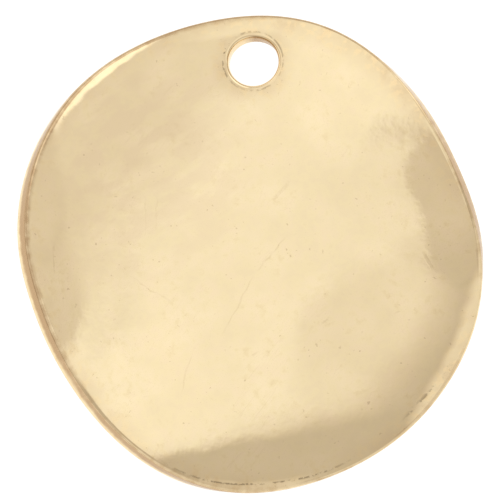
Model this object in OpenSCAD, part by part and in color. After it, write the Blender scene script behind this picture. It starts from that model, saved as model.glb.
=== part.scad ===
// Wavy disc pendant. A nearly round blank of thin sheet metal is bent into a shallow wave:
// two opposite sides climb, the two sides between them dip, and one climbing side
// curls up further than the other. The edge is tumbled round all the way, its upper
// corner is rolled down in three places, and one chamfered hole takes a jump ring.
// The disc lies as it rests on a table: +Z is up and the hole is on the +Y side.

/* [Blank] */
// Radius of the flat round blank before it is bent
blank_r = 10; // [8:0.5:16]
// Thickness of the sheet
sheet = 0.7; // [0.6:0.05:1.2]
// Radius of the tumbled edge of the sheet
edge_round = 0.12; // [0.05:0.01:0.2]
// Width of the strip along the edge that was rolled down as the blank was cut
roll_width = 0.6; // [0.3:0.05:1]
// Drop of the upper corner where it is rolled down furthest
roll_drop = 0.15; // [0:0.01:0.2]

/* [Outline] */
// How far the edge of the blank stands out at two opposite places, as in an oval
oval_out = 0.06; // [0:0.02:0.2]
// Direction of the first of those two places, counter-clockwise from +X
oval_angle = 120; // [0:1:179]
// How far it stands out at three places a third of a turn apart
three_out = 0.08; // [0:0.02:0.2]
// Direction of the first of those three places
three_angle = 80; // [0:1:119]
// How far it stands out at four places a quarter of a turn apart
four_out = 0.1; // [0:0.02:0.2]
// Direction of the first of those four places
four_angle = 77; // [0:1:89]

/* [Wave] */
// Rise of the rim along the two climbing sides, and fall of the two sides between
saddle_rise = 2.6; // [0.5:0.1:3.5]
// Direction of the climbing side, counter-clockwise from +X
saddle_angle = 24; // [0:1:179]
// How much of that rise is taken back where the sides level off towards the rim
saddle_ease = 0.4; // [0:0.1:1.5]
// Direction of the side that levels off most
saddle_ease_angle = 35; // [0:1:179]
// Rise of the whole rim above the middle, as in a shallow dish
dish_rise = 1.9; // [0:0.1:2.5]
// How much of that rise is taken back where the dish levels off towards the rim
dish_ease = 0.7; // [0:0.1:1.5]
// Extra rise of the rim on the side that curls up further
curl_rise = 0.6; // [0:0.1:1.5]
// Direction of the side that curls up further
curl_angle = 210; // [0:1:359]
// Rise of the rim at three places a third of a turn apart
ripple_rise = 0.35; // [0:0.05:0.6]
// Direction of the first of those three places
ripple_angle = 29; // [0:1:119]
// Rise of the rim at four places a quarter of a turn apart
quarter_rise = 0.1; // [0:0.05:0.4]
// Direction of the first of those four places
quarter_angle = 43; // [0:1:89]
// Lean of the whole disc, which levels it on its two low sides
lean_rise = 1.6; // [0:0.1:2.5]
// Direction towards which the disc leans upwards
lean_angle = 29; // [0:1:359]

/* [Hole] */
// Radius of the hole
hole_r = 1; // [0.6:0.05:1.3]
// Distance along the sheet from the middle of the hole to the edge of the blank
hole_inset = 1.95; // [1.9:0.05:3.5]
// Direction of the hole from the middle of the disc
hole_angle = 87; // [60:1:120]
// Width of the chamfer round the hole on the shown face
front_chamfer = 0.2; // [0.05:0.01:0.25]
// Width of the chamfer round the hole on the back
back_chamfer = 0.1; // [0.05:0.01:0.15]

/* [Hidden] */

// Spokes round the disc, rings on each face and steps round each rounded corner
spokes = 80;
rings = 12;
corner_steps = 2;
// Steps along a spoke when its reach in plan is added up
reach_steps = 12;
// How quickly the out-of-round outline fades towards the middle
trim_power = 3;
// Small share of the radius, and small angle, for measuring the slope of the sheet
nudge = 0.001;
// How far the drill and the chamfer tools pass beyond each face
drill_over = 0.6;
// Facets round the hole
hole_fn = 64;

// Columns of the table of waves
function rise(wave) = wave[0];
function lobes(wave) = wave[1];
function crest(wave) = wave[2];
function power(wave) = wave[3];

// Each wave adds rise * share^power * cos(lobes * (angle from its side)),
// where share is the distance from the middle divided by the radius of the blank.
// [rise at the rim, lobes round the disc, side of the first lobe, power of the share]
waves = [
    [saddle_rise, 2, saddle_angle, 2],
    [-saddle_ease, 2, saddle_ease_angle, 4],
    [dish_rise, 0, 0, 2],
    [-dish_ease, 0, 0, 4],
    [curl_rise, 1, curl_angle, 3],
    [ripple_rise, 3, ripple_angle, 3],
    [quarter_rise, 4, quarter_angle, 4],
    [lean_rise, 1, lean_angle, 1],
];

// The blank was cut a little out of round. Each of these moves a point out along its
// spoke by out * share^trim_power * cos(lobes * (angle from its side)).
// [how far out at the edge, lobes round the disc, direction of the first lobe]
trims = [
    [oval_out, 2, oval_angle],
    [three_out, 3, three_angle],
    [four_out, 4, four_angle],
];

// Sum of a list of numbers
function total(list) = list * [for (item = list) 1];

// Height of the middle of the sheet at a share of the radius and an angle
function height(share, angle) =
    total([for (w = waves) rise(w) * pow(share, power(w)) * cos(lobes(w) * (angle - crest(w)))]);

// Climb of the sheet along a spoke, as rise over run
function climb(share, angle) =
    total([for (w = waves)
        rise(w) * power(w) * pow(share, power(w) - 1) * cos(lobes(w) * (angle - crest(w)))]) / blank_r;

// Reach of a spoke in plan: the sheet keeps its length, so each step of it
// reaches out by the cosine of its climb
function reach(share, angle) =
    blank_r * share / reach_steps * total([for (i = [0 : reach_steps - 1])
        let (slope = climb(share * (i + 0.5) / reach_steps, angle)) 1 / sqrt(1 + slope * slope)]);

// How far out of round a point lies, which fades towards the middle
function trim(share, angle) =
    pow(share, trim_power) * total([for (t = trims) t[0] * cos(t[1] * (angle - t[2]))]);

// Point in the middle of the sheet's thickness
function middle(share, angle) =
    let (out = reach(share, angle) + trim(share, angle))
    [out * cos(angle), out * sin(angle), height(share, angle)];

// Direction square to the sheet, from two short steps along and across the spoke
function square_to(share, angle) =
    let (
        near = max(share, 2 * nudge),
        turn = nudge * 180 / PI,
        along = middle(near + nudge, angle) - middle(near - nudge, angle),
        across = (middle(near, angle + turn) - middle(near, angle - turn)) / near,
        up = cross(along, across)
    )
    up / norm(up);

// Places along the edge where the upper corner is rolled down.
// [direction of the middle, spread to each side, share of the full drop]
rolled_places = [
    [130, 28, 0.5],
    [268, 25, 0.4],
    [336, 24, 1],
];
function swell(offset, spread) = abs(offset) < spread ? pow(cos(90 * offset / spread), 2) : 0;
function rolled_share(angle) =
    total([for (place = rolled_places) place[2] * swell(angle - place[0], place[1])]);

// Drop of the upper face at a share of the radius: it grows across the rolled strip
function roll(share, angle) =
    roll_drop * rolled_share(angle) * pow(max(0, 1 - (1 - share) * blank_r / roll_width), 2);

// Half section of the sheet from the middle of its upper face, round the edge and
// back to the middle of its lower face. [share of the radius, height above mid-sheet]
half = sheet / 2;
flat_share = 1 - edge_round / blank_r;
function ring_share(i) = flat_share * sin(90 * i / rings);
function corner_share(i) = 1 - edge_round * (1 - sin(90 * i / corner_steps)) / blank_r;
function corner_drop(i) = edge_round * (1 - cos(90 * i / corner_steps));
section = concat(
    [for (i = [1 : rings - 1]) [ring_share(i), half]],
    [for (i = [0 : corner_steps]) [corner_share(i), half - corner_drop(i)]],
    [for (i = [corner_steps : -1 : 0]) [corner_share(i), corner_drop(i) - half]],
    [for (i = [rings - 1 : -1 : 1]) [ring_share(i), -half]]
);
section_size = len(section);
spoke_angle = 360 / spokes;

// Point of the section on a spoke: only the upper face is rolled down
function on_skin(p, angle) =
    let (above = p[1] > 0 ? p[1] - roll(p[0], angle) : p[1])
    middle(p[0], angle) + above * square_to(p[0], angle);

// The bent sheet before it is set down: one section for each spoke, then the middles
bent = concat(
    [for (s = [0 : spokes - 1], p = section) on_skin(p, s * spoke_angle)],
    [
        middle(0, 0) + half * square_to(0, 0),
        middle(0, 0) - half * square_to(0, 0),
    ]
);
top_middle = spokes * section_size;
bottom_middle = top_middle + 1;

// Step that sets the disc down on Z = 0 with its plan centred on the origin
function reach_of(axis) = [for (p = bent) p[axis]];
function centre_of(axis) = (min(reach_of(axis)) + max(reach_of(axis))) / 2;
set_down = [-centre_of(0), -centre_of(1), -min(reach_of(2))];

// Corner number on a spoke, where the last spoke meets the first again
function corner(spoke, place) = (spoke % spokes) * section_size + place;
faces_round = [for (s = [0 : spokes - 1], k = [0 : section_size - 2])
    each [
        [corner(s, k), corner(s + 1, k + 1), corner(s, k + 1)],
        [corner(s, k), corner(s + 1, k), corner(s + 1, k + 1)],
    ]];
faces_middle = [for (s = [0 : spokes - 1])
    each [
        [top_middle, corner(s + 1, 0), corner(s, 0)],
        [bottom_middle, corner(s, section_size - 1), corner(s + 1, section_size - 1)],
    ]];

// The hole stands square to the sheet at its own place
hole_share = 1 - hole_inset / blank_r;
hole_middle = middle(hole_share, hole_angle);
hole_up = square_to(hole_share, hole_angle);

module bent_sheet() {
    polyhedron(points = bent, faces = concat(faces_round, faces_middle), convexity = 6);
}

// Cone that opens by its width over its width, and on beyond the face
module chamfer(width) {
    translate([0, 0, half - width])
        cylinder(h = width + drill_over, r1 = hole_r, r2 = hole_r + width + drill_over, $fn = hole_fn);
}

module hole_tools() {
    translate(hole_middle)
        rotate([0, acos(hole_up[2]), atan2(hole_up[1], hole_up[0])]) {
            cylinder(h = sheet + 2 * drill_over, r = hole_r, center = true, $fn = hole_fn);
            chamfer(front_chamfer);
            rotate([180, 0, 0]) chamfer(back_chamfer);
        }
}

module disc() {
    color([0.93, 0.84, 0.66])
        translate(set_down)
            difference() {
                bent_sheet();
                hole_tools();
            }
}

disc();
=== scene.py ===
# %% [markdown]
# # A wavy disc pendant
# The real thing is a round blank of thin sheet brass, plated in a pale gold tone, tumbled until its
# edge is round, and bent into a shallow wave. One hole near the edge takes a jump ring.
# This lesson works the whole disc out as one closed surface with numpy, gives it a polished metal
# with the marks of handling, and lights it with a soft dome, as a small shiny part is photographed.

import bpy
import numpy as np
from mathutils import Matrix, Vector


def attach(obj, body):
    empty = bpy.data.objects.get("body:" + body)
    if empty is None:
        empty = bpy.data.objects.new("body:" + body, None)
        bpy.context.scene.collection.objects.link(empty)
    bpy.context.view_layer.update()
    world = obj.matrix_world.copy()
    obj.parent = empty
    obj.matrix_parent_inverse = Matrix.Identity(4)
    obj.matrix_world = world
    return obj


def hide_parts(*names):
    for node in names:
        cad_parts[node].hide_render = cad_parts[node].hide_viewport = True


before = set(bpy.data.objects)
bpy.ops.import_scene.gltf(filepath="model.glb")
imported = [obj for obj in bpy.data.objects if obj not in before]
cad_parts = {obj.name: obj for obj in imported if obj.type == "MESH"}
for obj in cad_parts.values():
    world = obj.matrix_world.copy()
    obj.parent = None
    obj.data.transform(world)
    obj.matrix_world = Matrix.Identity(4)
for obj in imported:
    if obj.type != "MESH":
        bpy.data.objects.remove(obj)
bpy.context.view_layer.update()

MM = 0.001

# %% [markdown]
# ## The bend of the sheet
# A bent blank could be sculpted, or a flat disc could be pushed about with a lattice. Here the bend
# is a sum of a few slow waves round the disc, because a sheet bends slowly and a formula stays
# smooth under a mirror finish, where every dent of a sculpted mesh would show. The waves are the
# ones that shaped the part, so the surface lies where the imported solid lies, apart from the small
# bends and swells that are added here.

# %% Sizes of the blank and its waves
blank_r = 10 * MM
sheet = 0.7 * MM
half = sheet / 2

# Rise at the rim, lobes round the disc, direction of the first lobe, power of the share
waves = [
    (2.6 * MM, 2, 24, 2),
    (-0.4 * MM, 2, 35, 4),
    (1.9 * MM, 0, 0, 2),
    (-0.7 * MM, 0, 0, 4),
    (0.6 * MM, 1, 210, 3),
    (0.35 * MM, 3, 29, 3),
    (0.1 * MM, 4, 43, 4),
    (1.6 * MM, 1, 29, 1),
]

# The blank was cut a little out of round: how far out at the edge, lobes round the disc, direction
# of the first lobe
trims = [
    (0.06 * MM, 2, 120),
    (0.08 * MM, 3, 80),
    (0.1 * MM, 4, 77),
]
trim_power = 3

# Small flats and swells of the edge: how far out, direction of the middle, spread to each side
edge_swells = [
    (-0.085 * MM, 97, 30),
    (-0.04 * MM, 151, 18),
    (0.06 * MM, 180, 18),
    (0.02 * MM, 252, 30),
    (0.055 * MM, 308, 25),
    (0.03 * MM, 0, 25),
]


def wave_height(share, angle):
    """Sum over the waves of rise * share^power * cos(lobes * (angle - side))."""
    return sum(
        rise * share**power * np.cos(lobes * (angle - np.radians(side)))
        for rise, lobes, side, power in waves
    )


def wave_climb(share, angle):
    """Rise over run along a spoke: change of the height with the share, divided by the radius."""
    return sum(
        rise * power * share ** (power - 1) * np.cos(lobes * (angle - np.radians(side)))
        for rise, lobes, side, power in waves
    ) / blank_r


print("waves round the disc:", len(waves))

# %% [markdown]
# ## Keeping the length of the metal
# Sheet metal bends but hardly stretches. A point that lay some way out on the flat blank therefore
# lies a little nearer the middle in plan once its spoke climbs. Each short step along the spoke
# reaches out by the cosine of its climb, and the steps are added up.

# %% Where a point of the flat blank ends up
reach_steps = 20

# Small bends that the waves don't hold. Each is one hump on the flat blank: rise, distance of its
# middle from the middle of the disc, direction, reach to each side
bends = [
    (0.45 * MM, 12.2 * MM, 180, 7.0 * MM),
    (0.29 * MM, 12.1 * MM, 245, 5.0 * MM),
    (-0.12 * MM, 12.0 * MM, 275, 4.6 * MM),
    (-0.14 * MM, 12.0 * MM, 292, 4.8 * MM),
    (0.08 * MM, 4.0 * MM, 273, 4.8 * MM),
    (-0.07 * MM, 7.8 * MM, 3, 5.4 * MM),
    (-0.22 * MM, 9.8 * MM, 20, 4.3 * MM),
    (0.08 * MM, 11.6 * MM, 5, 3.9 * MM),
    (0.22 * MM, 9.6 * MM, 97, 4.8 * MM),
]

# Faint rolling marks: height, length of one wave, direction across the marks, then distance,
# direction and reach as above
rolling_marks = [
    (0.0012 * MM, 1.0 * MM, 118, 5.3 * MM, 140, 3.6 * MM),
    (0.0012 * MM, 1.4 * MM, 20, 6.5 * MM, 300, 4.5 * MM),
]


def ramp(value, start, end):
    """Smooth step from 0 at start to 1 at end."""
    t = np.clip((value - start) / (end - start), 0, 1)
    return t * t * (3 - 2 * t)


def blend(first, second, amount):
    """From the first value to the second as the amount goes from 0 to 1."""
    return first + (second - first) * amount


def swell(offset, spread):
    """One hump: the squared cosine of the offset inside the spread, and nothing outside it."""
    inside = np.abs(offset) < spread
    return np.where(inside, np.cos(np.pi / 2 * offset / spread) ** 2, 0.0)


def near_place(x, y, out, side, spread):
    """Hump of the distance from a place that lies so far out in this direction."""
    side = np.radians(side)
    return swell(np.hypot(x - out * np.cos(side), y - out * np.sin(side)), spread)


def local_bends(x, y):
    """Sum of rise * hump, and of height * sine of the way across * hump for the rolling marks."""
    bent = sum(rise * near_place(x, y, out, side, spread) for rise, out, side, spread in bends)
    for height, length, across, out, side, spread in rolling_marks:
        way = x * np.cos(np.radians(across)) + y * np.sin(np.radians(across))
        marks_here = height * np.sin(2 * np.pi * way / length)
        bent = bent + marks_here * near_place(x, y, out, side, spread)
    return bent


def spoke_reach(share, angle):
    """Reach in plan: radius * share * mean of 1 / sqrt(1 + climb^2) over the steps of the spoke."""
    middles = (np.arange(reach_steps) + 0.5) / reach_steps
    climb = wave_climb(share[..., None] * middles, angle[..., None])
    return blank_r * share * np.mean(1 / np.sqrt(1 + climb**2), axis=-1)


def trim(share, angle):
    """Share^power * (sum of out * cos(lobes * (angle - side)) + sum of out * hump of the angle)."""
    out_of_round = 0.0
    for out, lobes, side in trims:
        out_of_round = out_of_round + out * np.cos(lobes * (angle - np.radians(side)))
    for out, side, spread in edge_swells:
        offset = (np.degrees(angle) - side + 180) % 360 - 180
        out_of_round = out_of_round + out * swell(offset, spread)
    return share**trim_power * out_of_round


def mid_sheet(x, y):
    """Point in the middle of the sheet's thickness for a point x, y of the flat blank."""
    share = np.hypot(x, y) / blank_r
    angle = np.arctan2(y, x)
    out = spoke_reach(share, angle) + trim(share, angle)
    height = wave_height(share, angle) + local_bends(x, y)
    return np.stack([out * np.cos(angle), out * np.sin(angle), height], axis=-1)


def square_to(x, y):
    """Direction square to the sheet: the cross product of two short steps, made one unit long."""
    step = 0.002 * MM
    across = mid_sheet(x + step, y) - mid_sheet(x - step, y)
    along = mid_sheet(x, y + step) - mid_sheet(x, y - step)
    up = np.cross(across, along)
    return up / np.linalg.norm(up, axis=-1, keepdims=True)


rim_angles = np.radians(np.arange(0, 360, 1.0))
rim = mid_sheet(blank_r * np.cos(rim_angles), blank_r * np.sin(rim_angles))
print("rim stands", round((rim[:, 2].max() - rim[:, 2].min()) / MM, 2), "mm out of flat")

# %% [markdown]
# ## The rolled edge
# The blank was cut with a tool that rolls the upper corner down, more in some places than in
# others. A bevel would give a strip of one width and one slope. Here the roll grows across a narrow
# strip along the edge, whose width wavers as the tool did, so that the strip catches its own thin
# highlight with a ragged border.

# %% Drop of the upper face near the edge
edge_round = 0.12 * MM
roll_drop = 0.15 * MM

# Direction of the middle, spread to each side, share of the full drop, width of the rolled strip
rolled_places = [
    (130, 28, 0.5, 0.55 * MM),
    (268, 25, 0.4, 0.6 * MM),
    (335, 28, 1.0, 0.85 * MM),
]

# Wavering of the strip's width: waves round the disc, share of the width
tool_marks = [(19, 0.03), (37, 0.05), (61, 0.05)]


def roll(x, y):
    """Sum over the places of drop * hump of the angle * (share of the strip that is crossed)^2."""
    angle = np.arctan2(y, x)
    from_rim = blank_r - np.hypot(x, y)
    wavering = 1 + sum(part * np.sin(lobes * angle) for lobes, part in tool_marks)
    dropped = 0.0
    for middle, spread, part, width in rolled_places:
        offset = (np.degrees(angle) - middle + 180) % 360 - 180
        crossed = np.clip(1 - from_rim / (width * wavering), 0, None)
        dropped = dropped + roll_drop * part * swell(offset, spread) * crossed**2
    return dropped


rim_drop = roll(blank_r * np.cos(rim_angles), blank_r * np.sin(rim_angles))
print("corner rolled down by up to", round(rim_drop.max() / MM, 3), "mm")

# %% [markdown]
# ## One grid round the whole section
# The disc with its hole is a ring, so one grid that closes both ways covers it without a seam or a
# pole. Its circles start on the hole, grow and slide across the face until they lie on the rim, go
# round the edge, and come back along the lower face and up through the hole. A grid made of squares
# would have cut the hole and the rim into steps.

# %% Circles from the hole to the rim
spokes = 400
hole_r = 1 * MM
hole_inset = 1.95 * MM
hole_side = np.radians(87)
front_lip = 0.2 * MM
back_lip = 0.1 * MM

# Strips with finer rings: one round the hole, measured from its wall, and one along the rim
collar = 0.28 * MM
collar_rings = 5
border = 0.5 * MM
border_rings = 14

hole_x = (blank_r - hole_inset) * np.cos(hole_side)
hole_y = (blank_r - hole_inset) * np.sin(hole_side)
turn = np.linspace(0, 2 * np.pi, spokes, endpoint=False)


def circles(radius, slide):
    """Flat points of one circle for each radius.

    A point is radius * (cosine, sine) of the turn + (1 - slide) * middle of the hole, so a circle
    goes from the hole to the middle of the disc as its slide goes from 0 to 1.
    """
    radius = np.asarray(radius, float)[:, None]
    at_hole = 1 - np.asarray(slide, float)[:, None]
    return radius * np.cos(turn) + at_hole * hole_x, radius * np.sin(turn) + at_hole * hole_y


def round_steps(count):
    """Angles of a quarter turn, without its two ends."""
    return np.radians(90) * np.arange(1, count) / count


def face_rings(rings, lip):
    """Radii and slides of the rings over the collar, across the face and over the border.

    Across the face a radius is collar's radius + growth * (border's radius - collar's radius), and
    its slide is the growth itself.
    """
    near_hole = np.linspace(hole_r + lip, hole_r + collar, collar_rings)
    growth = np.linspace(0, 1, rings)[1:-1]
    border_start = blank_r - border
    across = hole_r + collar + growth * (border_start - hole_r - collar)
    near_rim = np.linspace(border_start, blank_r - edge_round, border_rings)
    radius = np.concatenate([near_hole, across, near_rim])
    slide = np.concatenate([np.zeros(len(near_hole)), growth, np.ones(len(near_rim))])
    return radius, slide


print("hole at", round(hole_x / MM, 2), round(hole_y / MM, 2), "on the flat blank, in millimetres")

# %% Section of the disc, from the upper lip round to the hole's wall
# Rings on each face and on both walls, and steps of each rounded corner
front_rings = 108
back_rings = 52
front_lip_steps = 8
back_lip_steps = 5
corner_steps = 7
wall_rings = 7
hole_rings = 6


def rounded(radius, steps):
    """Steps in and down along a quarter round: radius * (1 - sine) and radius * (1 - cosine)."""
    quarter = round_steps(steps)
    return radius * (1 - np.sin(quarter)), radius * (1 - np.cos(quarter))


def build_section():
    """Rows of radius, slide and level, which is the height above mid-sheet, square to the sheet."""
    rows = []

    def add(radius, slide, level):
        radius, slide, level = np.broadcast_arrays(radius, slide, level)
        rows.append(np.stack([radius, slide, level], axis=-1).reshape(-1, 3))

    beyond, down = rounded(front_lip, front_lip_steps)
    add(hole_r + beyond[::-1], 0.0, half - down[::-1])
    add(*face_rings(front_rings, front_lip), half)
    inside, down = rounded(edge_round, corner_steps)
    add(blank_r - inside, 1.0, half - down)
    add(blank_r, 1.0, np.linspace(half - edge_round, edge_round - half, wall_rings))
    add(blank_r - inside[::-1], 1.0, down[::-1] - half)
    radius, slide = face_rings(back_rings, back_lip)
    add(radius[::-1], slide[::-1], -half)
    beyond, down = rounded(back_lip, back_lip_steps)
    add(hole_r + beyond, 0.0, down - half)
    add(hole_r, 0.0, np.linspace(back_lip - half, half - front_lip, hole_rings))
    return np.concatenate(rows)


section = build_section()
flat_x, flat_y = circles(section[:, 0], section[:, 1])
level = np.broadcast_to(section[:, 2:3], flat_x.shape)
print("grid of", flat_x.shape, "points,", 2 * flat_x.size, "triangles")

# %% Bend the grid and set it down where the part lies
level = np.where(level > 0, level - roll(flat_x, flat_y), level)
skin = mid_sheet(flat_x, flat_y) + level[..., None] * square_to(flat_x, flat_y)

skin_low = skin.reshape(-1, 3).min(axis=0)
skin_high = skin.reshape(-1, 3).max(axis=0)
skin_middle = (skin_low + skin_high) / 2
set_down = np.array([-skin_middle[0], -skin_middle[1], -skin_low[2]])
skin = skin + set_down
print("set down by, in millimetres:", np.round(set_down / MM, 3))

# %% Make the mesh
def closed_grid(name, points):
    """Mesh whose quads join each ring to the next and each spoke to the next, closed both ways."""
    rings, around = points.shape[:2]
    number = np.arange(rings * around).reshape(rings, around)
    beside = np.roll(number, -1, axis=1)
    above = np.roll(number, -1, axis=0)
    beside_above = np.roll(beside, -1, axis=0)
    quads = np.stack([above, beside_above, beside, number], axis=-1)
    mesh = bpy.data.meshes.new(name)
    mesh.from_pydata(points.reshape(-1, 3).tolist(), [], quads.reshape(-1, 4).tolist())
    mesh.shade_smooth()
    mesh.update()
    return mesh


disc_mesh = closed_grid("disc_sheet", skin)
disc = bpy.data.objects.new("disc_sheet", disc_mesh)
bpy.context.scene.collection.objects.link(disc)
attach(disc, "root")
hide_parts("disc")
print("sheet of", len(disc_mesh.vertices), "points and", len(disc_mesh.polygons), "faces")

# %% [markdown]
# ## Where the polish stops, and painted shade
# A polishing wheel reaches the open faces, but it misses the wall of the sheet, the foot of the
# rolled edge and the lip of the hole, where a brown film and thin lines of dark grime stay. The
# brown film is also painted shade: it darkens the wall, the rounded corner and the wall of the
# hole, and hides the bright line that the rounded corner mirrors on the left. Each point of the
# mesh stores how much it carries. A painted picture could do that too, but stored numbers need no
# picture and no unwrapping.
# Each table goes round the disc or the hole, counter-clockwise from +X.

# %% Brown film and painted shade along the rim and in the hole
flat_angle = np.degrees(np.arctan2(flat_y, flat_x)) % 360
rim_in = (blank_r - np.hypot(flat_x, flat_y)) / MM
from_hole = np.hypot(flat_x - hole_x, flat_y - hole_y) / MM
hole_angle = np.degrees(np.arctan2(flat_y - hole_y, flat_x - hole_x)) % 360

# Height in the sheet: 1 on the upper face, 0 in the middle, -1 on the lower face
height_in_sheet = level / half

# Direction, how far the film and painted shade reach in from the rim in millimetres, and their
# strength on the face, on the rounded corner and on the wall
film_and_shade_places = [
    (0, 0.07, 0.25, 0.35, 0.9),
    (20, 0.07, 0.45, 0.3, 0.85),
    (40, 0.05, 0.3, 0.15, 0.6),
    (60, 0.03, 0.2, 0.5, 0.5),
    (75, 0.08, 0.5, 0.6, 0.7),
    (90, 0.22, 0.45, 0.7, 0.8),
    (105, 0.22, 0.5, 0.7, 0.8),
    (125, 0.1, 0.55, 0.5, 0.6),
    (140, 0.16, 0.5, 0.65, 0.6),
    (155, 0.2, 0.45, 0.6, 0.9),
    (168, 0.16, 0.5, 0.8, 1.0),
    (182, 0.16, 0.45, 0.6, 1.0),
    (200, 0.16, 0.45, 0.6, 1.0),
    (215, 0.18, 0.35, 0.3, 0.7),
    (235, 0.12, 0.2, 0.15, 0.9),
    (250, 0.2, 0.3, 0.4, 1.0),
    (262, 0.3, 0.35, 0.05, 0.9),
    (275, 0.3, 0.35, 0.0, 0.7),
    (290, 0.12, 0.2, 0.5, 0.6),
    (310, 0.06, 0.2, 0.3, 0.5),
    (325, 0.03, 0.3, 0.4, 0.4),
    (340, 0.02, 0.1, 0.0, 0.2),
    (350, 0.02, 0.1, 0.05, 0.3),
]

# Direction from the middle of the hole, strength of the film and painted shade on its wall
hole_film_and_shade = [
    (0, 0.7),
    (30, 1.2),
    (75, 1.2),
    (100, 0.4),
    (115, 0.05),
    (150, 0.0),
    (220, 0.0),
    (300, 0.3),
]

# Direction, strength of the stain
stain_places = [
    (0, 0.1),
    (30, 0.7),
    (45, 1.0),
    (75, 1.0),
    (95, 0.8),
    (110, 0.6),
    (140, 0.6),
    (165, 0.2),
    (195, 0.3),
    (215, 0.6),
    (240, 0.4),
    (260, 0.6),
    (285, 0.3),
    (330, 0.9),
    (350, 0.2),
]


def go_round(places, column, angle):
    """Value at each angle, blended in a straight line between the listed directions."""
    table = np.array(places)
    return np.interp(angle, table[:, 0], table[:, column], period=360)


def film_and_painted_shade():
    """Strength on the face * fade past the film's reach, then the strengths of corner and wall.

    The film is also painted shade. The change follows the depth below the face. On the wall the
    strength is multiplied by 1 - lower_wall_thinning * ramp down the wall, so its lower part
    carries less of it, most of all on the left.
    """
    reach = go_round(film_and_shade_places, 1, flat_angle)
    within_reach = 1 - ramp(rim_in, 0.4 * reach, 1.6 * reach + 0.08)
    front = go_round(film_and_shade_places, 2, flat_angle) * within_reach
    back = 0.4 * (1 - ramp(rim_in, 0.1, 0.5))
    on_face = np.where(height_in_sheet > 0, front, back)
    corner = np.maximum(on_face, go_round(film_and_shade_places, 3, flat_angle))
    lower_wall_thinning = blend(0.85, 0.35, ramp(np.abs(flat_angle - 195), 50, 90))
    wall = go_round(film_and_shade_places, 4, flat_angle) * (1 - lower_wall_thinning * ramp(-height_in_sheet, -0.3, 0.7))
    depth = 1 - np.abs(height_in_sheet)
    at_rim = rim_in < 0.2
    rim_film_and_shade = blend(on_face, corner, ramp(depth, 0.0005, 0.015) * at_rim)
    rim_film_and_shade = blend(rim_film_and_shade, wall, ramp(depth, 0.1, 0.4) * at_rim)
    in_hole = go_round(hole_film_and_shade, 1, hole_angle) * (1 - ramp(from_hole, 1.02, 1.08))
    return np.maximum(rim_film_and_shade, in_hole)


def rim_stain():
    """The larger of strength * fade away from the rim and 0.7 * fade away from the hole."""
    near_rim = go_round(stain_places, 1, flat_angle) * (1 - ramp(rim_in, 0.1, 1.1))
    return np.maximum(near_rim, 0.7 * (1 - ramp(from_hole, 1.2, 1.9)))


# Brown film, which is also painted shade, on each point of the mesh
film_and_shade = film_and_painted_shade()
print("film covers", round(100 * float((film_and_shade > 0.5).mean())), "% of the points")

# %% Lines of grime along the rolled edge and round the lip
# Direction, distance in from the rim in millimetres, strength
edge_grime = [
    (243, 0.20, 0.0),
    (250, 0.22, 0.5),
    (258, 0.28, 0.9),
    (264, 0.33, 1.0),
    (270, 0.39, 1.0),
    (280, 0.38, 0.9),
    (288, 0.32, 1.0),
    (294, 0.32, 0.8),
    (299, 0.35, 0.0),
    (314, 0.50, 0.0),
    (318, 0.50, 0.8),
    (323, 0.48, 0.8),
    (327, 0.45, 0.0),
]

# Direction from the middle of the hole, strength
lip_grime = [
    (0, 0.5),
    (30, 0.8),
    (60, 0.4),
    (90, 0.4),
    (120, 0.7),
    (150, 1.0),
    (190, 1.0),
    (215, 0.7),
    (245, 0.3),
    (290, 0.6),
    (320, 0.3),
]

# Radius of the line round the hole, and half width of both lines, in millimetres
lip_line = 1.22
line_width = 0.032


def grime_line():
    """Strength * exp(-(distance from the line / half width)^2), at the edge and at the lip."""
    off_edge = rim_in - go_round(edge_grime, 1, flat_angle)
    edge = go_round(edge_grime, 2, flat_angle) * np.exp(-((off_edge / line_width) ** 2))
    off_lip = from_hole - lip_line
    lip = go_round(lip_grime, 1, hole_angle) * np.exp(-((off_lip / line_width) ** 2))
    return np.where(height_in_sheet > 0, np.maximum(edge, lip), 0.3 * lip)


def store(mesh, name, values, kind="FLOAT", field="value"):
    """Store values on the points of a mesh, under a name that a material reads."""
    attribute = mesh.attributes.new(name, kind, "POINT")
    attribute.data.foreach_set(field, np.ravel(values).astype(np.float32))


# The stored film is also painted shade on the wall, the rounded corner and the hole's wall
store(disc_mesh, "film_and_shade", film_and_shade)
store(disc_mesh, "stain", rim_stain())
store(disc_mesh, "grime", grime_line())
blank_place = np.stack([flat_x / MM, flat_y / MM, height_in_sheet], axis=-1)
store(disc_mesh, "blank", blank_place, "FLOAT_VECTOR", "vector")
print("stored on the points:", [item.name for item in disc_mesh.attributes])

# %% [markdown]
# ## Polished gold-toned metal
# Plated brass is a mirror with a warm tint. One flat colour would look like plastic, so the plate
# varies a little in tone and in gloss, carries smoky streaks, orange flecks, specks and fine
# scratches, and is very slightly uneven, which breaks up the borders of what it mirrors. All of it
# comes from noise and from a few listed lines. Scratches painted on a picture would blur
# close up, while these cost no image and stay sharp at any distance.

# %% Small tools for building materials
def add_node(tree, kind, **values):
    """New node of a kind, with its settings and its unlinked inputs filled in."""
    node = tree.nodes.new(kind)
    for key, value in values.items():
        if key in node.inputs:
            node.inputs[key].default_value = value
        else:
            setattr(node, key, value)
    return node


def feed(tree, socket, value):
    """Link an output to the socket, or set the socket to a plain value."""
    if isinstance(value, bpy.types.NodeSocket):
        tree.links.new(value, socket)
    else:
        socket.default_value = value


def maths(tree, operation, first, second=None, third=None):
    """Result of one Math node."""
    node = add_node(tree, "ShaderNodeMath", operation=operation)
    for socket, value in zip(node.inputs, (first, second, third)):
        if value is not None:
            feed(tree, socket, value)
    return node.outputs[0]


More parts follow.
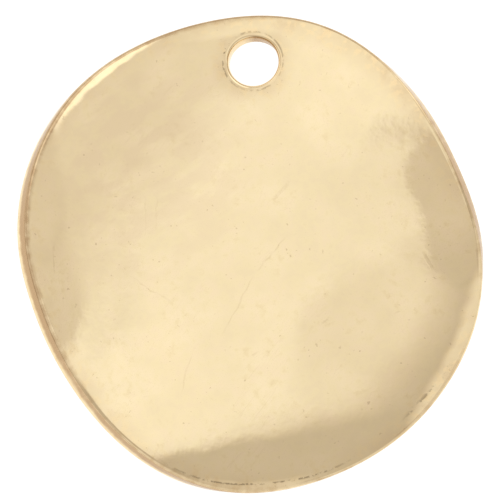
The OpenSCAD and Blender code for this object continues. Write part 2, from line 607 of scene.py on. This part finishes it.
def smooth(tree, value, start, end, low=0.0, high=1.0):
    """Smooth step of a value, from low at start to high at end."""
    node = add_node(tree, "ShaderNodeMapRange", interpolation_type="SMOOTHSTEP")
    for socket, item in zip(node.inputs, (value, start, end, low, high)):
        feed(tree, socket, item)
    return node.outputs[0]


def tint(tree, amount, first, second):
    """First colour turning into the second as the amount goes from 0 to 1."""
    node = add_node(tree, "ShaderNodeMix", data_type="RGBA")
    feed(tree, node.inputs["Factor"], amount)
    feed(tree, node.inputs["A"], first)
    feed(tree, node.inputs["B"], second)
    return node.outputs["Result"]


# %% Noises of the plate
gold = bpy.data.materials.new("gold_toned_plate")
gold.use_nodes = True
tree = gold.node_tree
metal = tree.nodes["Principled BSDF"]
place = add_node(tree, "ShaderNodeTexCoord").outputs["Object"]


def grain(size, detail=2.0, longer=1.0, turned=0.0):
    """Noise with features about as wide as size, and longer along y turned by so many degrees."""
    mapping = add_node(tree, "ShaderNodeMapping", vector_type="TEXTURE", Scale=(1, longer, 1))
    mapping.inputs["Rotation"].default_value = (0, 0, np.radians(turned))
    noise = add_node(tree, "ShaderNodeTexNoise", Scale=1 / size, Detail=detail)
    tree.links.new(place, mapping.inputs["Vector"])
    tree.links.new(mapping.outputs["Vector"], noise.inputs["Vector"])
    return noise.outputs[0]


cloud = grain(1.8 * MM, detail=4.0)
blush = grain(0.9 * MM, detail=3.0)
mottle = grain(0.35 * MM, detail=3.0)
peel = grain(0.7 * MM)
speckle = grain(0.17 * MM, detail=1.0)
brushing = grain(0.16 * MM, longer=12, turned=8)
hairline = grain(0.3 * MM, longer=30, turned=-38)
smoke = grain(0.7 * MM, detail=3.0, longer=2.5, turned=-59)

# %% Marks placed one by one
# Start x and y, end x and y on the flat blank and half width in millimetres, then strength.
# The noises push the marks about a little.
marks = [
    (2.1, 0.9, 0.7, -0.7, 0.05, 0.4),
    (0.7, -0.7, -0.9, -3.5, 0.05, 0.4),
    (2.2, 3.3, 1.5, 2.4, 0.12, 0.35),
    (-2.1, -4.1, -2.8, -6.0, 0.05, 0.35),
    (-5.1, -0.9, -2.9, -2.1, 0.05, 0.3),
    (-8.4, 0.3, -8.6, -1.2, 0.07, 0.5),
    (-4.1, 2.6, -4.1, 0.7, 0.05, 0.25),
    (-3.6, 2.7, -3.6, 1.0, 0.05, 0.25),
    (7.9, 0.0, 8.3, -0.7, 0.12, 0.4),
    (0.5, -4.2, 0.8, -4.0, 0.06, 0.5),
    (3.5, -2.8, 3.8, -2.6, 0.06, 0.4),
    (6.4, -2.5, 6.7, -2.3, 0.06, 0.4),
]
blank_node = add_node(tree, "ShaderNodeAttribute", attribute_name="blank")
blank_xyz = add_node(tree, "ShaderNodeSeparateXYZ")
tree.links.new(blank_node.outputs["Vector"], blank_xyz.inputs["Vector"])
blank_x = maths(tree, "MULTIPLY_ADD", blush, 0.5, blank_xyz.outputs[0])
blank_y = maths(tree, "MULTIPLY_ADD", mottle, 0.2, blank_xyz.outputs[1])
blank_z = blank_xyz.outputs[2]


def scratch_mark(x0, y0, x1, y1, width, strength):
    """Strength * fade with the distance aside of the segment * fade towards its two ends."""
    long = np.hypot(x1 - x0, y1 - y0)
    along_x = (x1 - x0) / long
    along_y = (y1 - y0) / long
    along = maths(tree, "MULTIPLY_ADD", blank_x, along_x, -x0 * along_x - y0 * along_y)
    along = maths(tree, "MULTIPLY_ADD", blank_y, along_y, along)
    aside = maths(tree, "MULTIPLY_ADD", blank_x, -along_y, x0 * along_y - y0 * along_x)
    aside = maths(tree, "MULTIPLY_ADD", blank_y, along_x, aside)
    beside = smooth(tree, maths(tree, "ABSOLUTE", aside), 0.3 * width, width, 1.0, 0.0)
    from_middle = maths(tree, "ABSOLUTE", maths(tree, "SUBTRACT", along, long / 2))
    between = smooth(tree, from_middle, 0.3 * long, 0.5 * long, strength, 0.0)
    return maths(tree, "MULTIPLY", beside, between)


scratched = scratch_mark(*marks[0])
for mark in marks[1:]:
    scratched = maths(tree, "MAXIMUM", scratched, scratch_mark(*mark))
on_front = smooth(tree, blank_z, 0.2, 0.4)
broken = smooth(tree, mottle, 0.35, 0.55, 0.3, 1.0)
scratched = maths(tree, "MULTIPLY", maths(tree, "MULTIPLY", scratched, on_front), broken)
print("marks placed by hand:", len(marks))

# %% Film and painted shade, stain, smoke, grime and specks
# An amount goes from 0 to 1. Most are products of two noises, each past its own threshold.
def stored(name):
    """Number that the points store under this name."""
    return add_node(tree, "ShaderNodeAttribute", attribute_name=name).outputs["Fac"]


# The film amount is also painted shade on the wall, the rounded corner and the hole's wall
ragged = maths(tree, "MULTIPLY_ADD", mottle, 0.7, -0.35)
film_and_shade_here = smooth(tree, maths(tree, "ADD", stored("film_and_shade"), ragged), 0.05, 0.85)
stain_here = maths(tree, "MULTIPLY", stored("stain"), smooth(tree, blush, 0.38, 0.62, 0.4, 1.0))
flecks_here = maths(tree, "MULTIPLY", stored("stain"), smooth(tree, mottle, 0.5, 0.62, 0.0, 0.6))

# Smoky streaks fade with the distance from one place on the upper face, in millimetres
smoke_middle = (-4.4, 3.6, 1.0)
from_smoke = add_node(tree, "ShaderNodeVectorMath", operation="DISTANCE")
tree.links.new(blank_node.outputs["Vector"], from_smoke.inputs[0])
from_smoke.inputs[1].default_value = smoke_middle
smoky_place = smooth(tree, from_smoke.outputs["Value"], 2.5, 6.0, 0.7, 0.0)
smoke_here = maths(tree, "MULTIPLY", smoky_place, smooth(tree, smoke, 0.42, 0.6))

dashes = maths(tree, "MULTIPLY", smooth(tree, mottle, 0.4, 0.52), smooth(tree, speckle, 0.36, 0.5))
grime_here = maths(tree, "MULTIPLY", stored("grime"), dashes)
spots = smooth(tree, mottle, 0.56, 0.68)
spots_here = maths(tree, "MULTIPLY", spots, smooth(tree, cloud, 0.45, 0.6))
specks = smooth(tree, speckle, 0.7, 0.78)
specks_here = maths(tree, "MULTIPLY", specks, smooth(tree, blush, 0.45, 0.6))

# A hairline runs where its long thin noise passes through one half
off_half = maths(tree, "ABSOLUTE", maths(tree, "SUBTRACT", hairline, 0.5))
hairs = smooth(tree, off_half, 0.004, 0.012, 1.0, 0.0)
hair_here = maths(tree, "MULTIPLY", hairs, smooth(tree, cloud, 0.48, 0.6))
print("nodes so far:", len(tree.nodes))

# %% Colours of the plate and of what lies on it
dim_plate = (0.893, 0.73, 0.455, 1)
bright_plate = (0.956, 0.785, 0.503, 1)
blushed = (0.918, 0.735, 0.475, 1)
mottled = (0.925, 0.765, 0.455, 1)
spotted = (0.83, 0.65, 0.37, 1)
stained = (0.75, 0.57, 0.33, 1)
bared = (0.62, 0.47, 0.28, 1)
orange = (0.98, 0.74, 0.42, 1)
smoky = (0.875, 0.7, 0.45, 1)
dark_speck = (0.45, 0.32, 0.18, 1)
# Brown of the film and the hairlines; on the wall and in the hole it is also painted shade
brown_and_painted_shade = (0.49, 0.33, 0.18, 1)
dark_grime = (0.3, 0.22, 0.13, 1)

# %% Colour, gloss and unevenness of the metal
colour = tint(tree, smooth(tree, cloud, 0.35, 0.65), dim_plate, bright_plate)
colour = tint(tree, smooth(tree, blush, 0.45, 0.65, 0.0, 0.5), colour, blushed)
colour = tint(tree, smooth(tree, mottle, 0.4, 0.6, 0.0, 0.5), colour, mottled)
colour = tint(tree, maths(tree, "MULTIPLY", spots_here, 0.25), colour, spotted)
colour = tint(tree, maths(tree, "MULTIPLY", stain_here, 0.8), colour, stained)
colour = tint(tree, maths(tree, "MULTIPLY", scratched, 0.6), colour, bared)
colour = tint(tree, flecks_here, colour, orange)
colour = tint(tree, smoke_here, colour, smoky)
colour = tint(tree, maths(tree, "MULTIPLY", hair_here, 0.08), colour, brown_and_painted_shade)
colour = tint(tree, maths(tree, "MULTIPLY", specks_here, 0.4), colour, dark_speck)
# Brown film, which is also painted shade on the wall, the rounded corner and the hole's wall
colour = tint(tree, film_and_shade_here, colour, brown_and_painted_shade)
colour = tint(tree, grime_here, colour, dark_grime)
feed(tree, metal.inputs["Base Color"], colour)
metal.inputs["Metallic"].default_value = 1.0

rough = smooth(tree, cloud, 0.35, 0.7, 0.03, 0.065)
rough = maths(tree, "MULTIPLY_ADD", film_and_shade_here, 0.22, rough)
rough = maths(tree, "MULTIPLY_ADD", grime_here, 0.35, rough)
rough = maths(tree, "MULTIPLY_ADD", scratched, 0.1, rough)
feed(tree, metal.inputs["Roughness"], rough)

# Heights in thousandths of a millimetre
uneven = maths(tree, "MULTIPLY", peel, 1.6)
uneven = maths(tree, "MULTIPLY_ADD", mottle, 0.6, uneven)
uneven = maths(tree, "MULTIPLY_ADD", brushing, 0.06, uneven)
uneven = maths(tree, "MULTIPLY_ADD", scratched, -1.5, uneven)
uneven = maths(tree, "MULTIPLY_ADD", grime_here, -1.5, uneven)
bump = add_node(tree, "ShaderNodeBump", Strength=1.0, Distance=0.001 * MM)
feed(tree, bump.inputs["Height"], uneven)
tree.links.new(bump.outputs["Normal"], metal.inputs["Normal"])
disc_mesh.materials.append(gold)
print("nodes in the metal:", len(tree.nodes))

# %% [markdown]
# ## The camera
# The disc rests on its two low sides, but in the photograph it faces the camera more squarely. So
# the camera leans to one side of straight above by the angle between the two. It looks through a
# long lens from far off, because from close up the lifted sides would look too large.

# %% Camera above the disc
lean = np.radians(13)
lean_side = np.radians(212.5)
back = Vector((np.sin(lean) * np.cos(lean_side), np.sin(lean) * np.sin(lean_side), np.cos(lean)))
camera_turn = Vector((0, 0, 1)).rotation_difference(back).to_matrix()
camera_right, camera_up = camera_turn.col[0], camera_turn.col[1]

# The camera aims a little to the right of the blank's middle and up the picture from it
aim_right = 0.228 * MM
aim_up = 0.182 * MM
aim = Vector(set_down) + camera_right * aim_right + camera_up * aim_up
camera_away = 400 * MM

# The picture is this wide where the bent sheet lies, a little nearer to the camera than its aim
picture_width = 20.96 * MM
sheet_nearer = 1 * MM

camera_data = bpy.data.cameras.new("camera")
camera_data.lens = 100
camera_data.sensor_width = camera_data.lens * picture_width / (camera_away - sheet_nearer)
camera_data.clip_start = 10 * MM
camera_data.clip_end = 10
camera = bpy.data.objects.new("camera", camera_data)
camera.matrix_world = Matrix.Translation(aim + back * camera_away) @ camera_turn.to_4x4()
bpy.context.scene.collection.objects.link(camera)
bpy.context.scene.camera = camera
print("camera leans", round(np.degrees(lean), 1), "degrees,", camera_away / MM, "mm away")

# %% [markdown]
# ## Floor and light
# A mirror shows its surroundings, so the light is built as surroundings: a soft dome over the disc.
# Its open middle is bright. Behind, it falls off softly, and in front and to the left it ends at
# straight edges, past which the room is dimmer and a little warmer. Metal that leans one way
# mirrors one place of the dome, so the glow is a function of the metal's slope, and each border of
# light on the disc can be moved by moving one edge. A few lamps would be less work, but none of
# them could be given the borders that the disc mirrors. The paper floor glows like a light table,
# so that it stays white and the shadow stays faint.

# %% Floor
def flat_piece(name, points, faces, material):
    """A stage piece from a few points, which isn't part of the object."""
    mesh = bpy.data.meshes.new(name)
    mesh.from_pydata(points, [], faces)
    mesh.materials.append(material)
    piece = bpy.data.objects.new(name, mesh)
    bpy.context.scene.collection.objects.link(piece)
    return piece


paper = bpy.data.materials.new("pale_paper")
paper.use_nodes = True
sheet_of_paper = paper.node_tree.nodes["Principled BSDF"]
sheet_of_paper.inputs["Base Color"].default_value = (0.3, 0.3, 0.3, 1)
sheet_of_paper.inputs["Roughness"].default_value = 0.9
sheet_of_paper.inputs["Emission Color"].default_value = (1, 1, 1, 1)
sheet_of_paper.inputs["Emission Strength"].default_value = 0.85
floor_half = 1.5
floor_signs = [(-1, -1), (1, -1), (1, 1), (-1, 1)]
floor_corners = [(x * floor_half, y * floor_half, 0) for x, y in floor_signs]
floor = flat_piece("floor", floor_corners, [(0, 1, 2, 3)], paper)
print(floor.name, 2 * floor_half, "m wide")

# %% Soft dome above the disc
# Radius in metres, steepest slope of metal that it serves, cells along each side
dome_r = 2.0
dome_slope = 0.85
dome_cells = 400


def dome_glow(p, q):
    """Glow of the part of the dome that metal of slope p across and q up the picture mirrors.

    Metal that rises to the right (p above 0) mirrors the left of the dome, and metal that rises up
    the picture (q above 0) mirrors its front. The glow starts as a plane in p and q, and each area
    is blended in past a border. The formula of a border is 0 along it and grows into the area, and
    soft is how far the blend reaches to each side.
    """
    # Open middle, a little brighter on the right, dimmer far right and behind, uneven on the left
    glow = 1.015 - 0.088 * q + 0.03 * ramp(-p, 0.3, 0.45)
    glow = glow - 0.11 * ramp(-p, 0.52, 0.7) * ramp(-q, 0.18, 0.27)
    glow = glow + 0.035 * ramp(p, 0.2, 0.35) * (1 - 2 * ramp(q, -0.12, 0.1))
    glow = glow + 0.075 * ramp(-p, 0.58, 0.64) * ramp(-q, 0.21, 0.25) * (1 - ramp(-q, 0.265, 0.285))

    # Behind: a dimmer room past a soft edge that bends back on the right, up to a soft limit on
    # the left
    behind = -0.139 + 0.2 * p - 0.18 * (p + 0.25) ** 2 - q
    soft = 0.06 - 0.025 * ramp(np.abs(p + 0.2), 0.0, 0.25)
    limit = p - 0.14 + 0.14 * (q + 0.15) + 0.08 * ramp(-q, 0.36, 0.41)
    room_tone = 0.842 + 0.035 * ramp(p, -0.2, 0.02) - 0.03 * ramp(-p, 0.5, 0.7)
    glow = blend(glow, room_tone, ramp(behind / soft, -1, 1) * (1 - ramp(limit, -0.06, 0.08)))

    # Far right: dimmer still, with a sharp edge in front that turns soft behind
    soft = 0.012 + 0.035 * ramp(-q, 0.26, 0.3) + 0.06 * ramp(-q, 0.33, 0.38)
    far_right = -p - 0.72 + 4 * np.maximum(-0.335 - q, 0) + 0.016 * ramp(q, -0.27, -0.25)
    glow = blend(glow, 0.74 + 0.03 * ramp(-q, 0.34, 0.36), ramp(far_right / soft, -1, 1))

    # A bright strip far behind, which the rolled edge at the upper left mirrors
    strip = ramp(-q - 0.46 - 0.24 * p, 0.0, 0.05) * ramp(p, -0.55, -0.4) * (1 - ramp(p, 0.0, 0.1))
    glow = blend(glow, 1.4, strip)

    # Front left: a slightly dimmer patch, then the dark front, which is soft on its left
    past = np.maximum(p + 0.05, 0)
    patch = q - 0.02 - 0.2 * past - 2.5 * past**2
    patch_start = -0.015 - 0.04 * ramp(p, 0.05, 0.2)
    glow = blend(glow, 0.905, ramp(patch, patch_start, 0.02) * ramp(p, -0.25, 0.0))
    front = q - 0.187 - 0.6 * p - 0.15 * np.maximum(p + 0.15, 0) + 0.015 * ramp(p, -0.15, 0.05)
    soft = blend(0.014, 0.035, ramp(p, -0.5, -0.15)) + 0.03 * ramp(p, -0.15, 0.05)
    front = front - 0.5 * np.maximum(-p - 0.64, 0)
    glow = glow * (1 - 0.06 * ramp(front, -0.05, 0.0))
    glow = blend(glow, blend(0.612, 0.655, ramp(p, -0.07, 0.15)), ramp(front / soft, -1, 1))

    # Left: dark past a straight edge
    left = p + q - 0.519 + 0.2 * np.maximum(0.27 - p, 0) + 1.25 * np.maximum(p - 0.388, 0)
    glow = glow * (1 - 0.06 * ramp(left, -0.04, 0.0))
    glow = blend(glow, blend(0.655, 0.715, ramp(p, 0.2, 0.28)), ramp(left, -0.004, 0.004))

    # Light again far in front, which the rolled edge at the bottom and the lower right mirrors
    wider = ramp(q, 0.2, 0.3)
    low_strip = ramp(front, 0.13 - 0.06 * wider, 0.21 + 0.04 * wider) * (1 - ramp(p, 0.03, 0.12))
    return blend(glow, blend(0.74, 0.92, ramp(q, 0.1, 0.3)), low_strip)


def dome_colour(glow):
    """Red, green and blue of a glow: below 1, blue fades most and red least, so shade is warm."""
    dim = np.clip((1 - glow) / 0.3, 0, 1)
    red = glow * (1 + 0.03 * dim)
    green = glow * (1 - 0.025 * dim)
    blue = glow * (1 - 0.07 * dim)
    return np.stack([red, green, blue, np.ones_like(glow)], axis=-1)


# Metal of slope p, q turns the line of sight to (-2p, -2q, 1 - p^2 - q^2) / (1 + p^2 + q^2)
slopes = np.linspace(-dome_slope, dome_slope, dome_cells + 1)
p, q = np.meshgrid(slopes, slopes)
steep = p**2 + q**2
dome_points = np.array(aim) + dome_r * (
    (-2 * p / (1 + steep))[..., None] * np.array(camera_right)
    + (-2 * q / (1 + steep))[..., None] * np.array(camera_up)
    + ((1 - steep) / (1 + steep))[..., None] * np.array(back)
)
number = np.arange(p.size).reshape(p.shape)
dome_quads = np.stack([number[:-1, :-1], number[1:, :-1], number[1:, 1:], number[:-1, 1:]], axis=-1)
soft_light = bpy.data.materials.new("soft_light")
soft_light.use_nodes = True
light_tree = soft_light.node_tree
light_tree.nodes.clear()
output = add_node(light_tree, "ShaderNodeOutputMaterial")
emit = add_node(light_tree, "ShaderNodeEmission")
glow_here = add_node(light_tree, "ShaderNodeAttribute", attribute_name="glow")
light_tree.links.new(glow_here.outputs["Color"], emit.inputs["Color"])
light_tree.links.new(emit.outputs["Emission"], output.inputs["Surface"])
point_list = dome_points.reshape(-1, 3).tolist()
quad_list = dome_quads.reshape(-1, 4).tolist()
dome = flat_piece("soft_dome", point_list, quad_list, soft_light)
store(dome.data, "glow", dome_colour(dome_glow(p, q)), "FLOAT_COLOR", "color")
dome.visible_camera = False
dome.visible_shadow = False
print("dome of", len(dome.data.polygons), "faces")

# %% Fill light for the floor and the room round the stage
lamp_data = bpy.data.lights.new("floor_fill", "AREA")
lamp_data.shape = "SQUARE"
lamp_data.size = 0.5
lamp_data.energy = 0.5
lamp = bpy.data.objects.new("floor_fill", lamp_data)
lamp.location = (0.05, 0.05, 0.3)
lamp.visible_camera = False
lamp.visible_glossy = False
bpy.context.scene.collection.objects.link(lamp)

room = bpy.data.worlds.new("room")
room.use_nodes = True
room.node_tree.nodes["Background"].inputs["Color"].default_value = (0.75, 0.75, 0.75, 1)
bpy.context.scene.world = room
bpy.context.scene.view_settings.view_transform = "Standard"
print("fill light of", lamp_data.energy, "W")
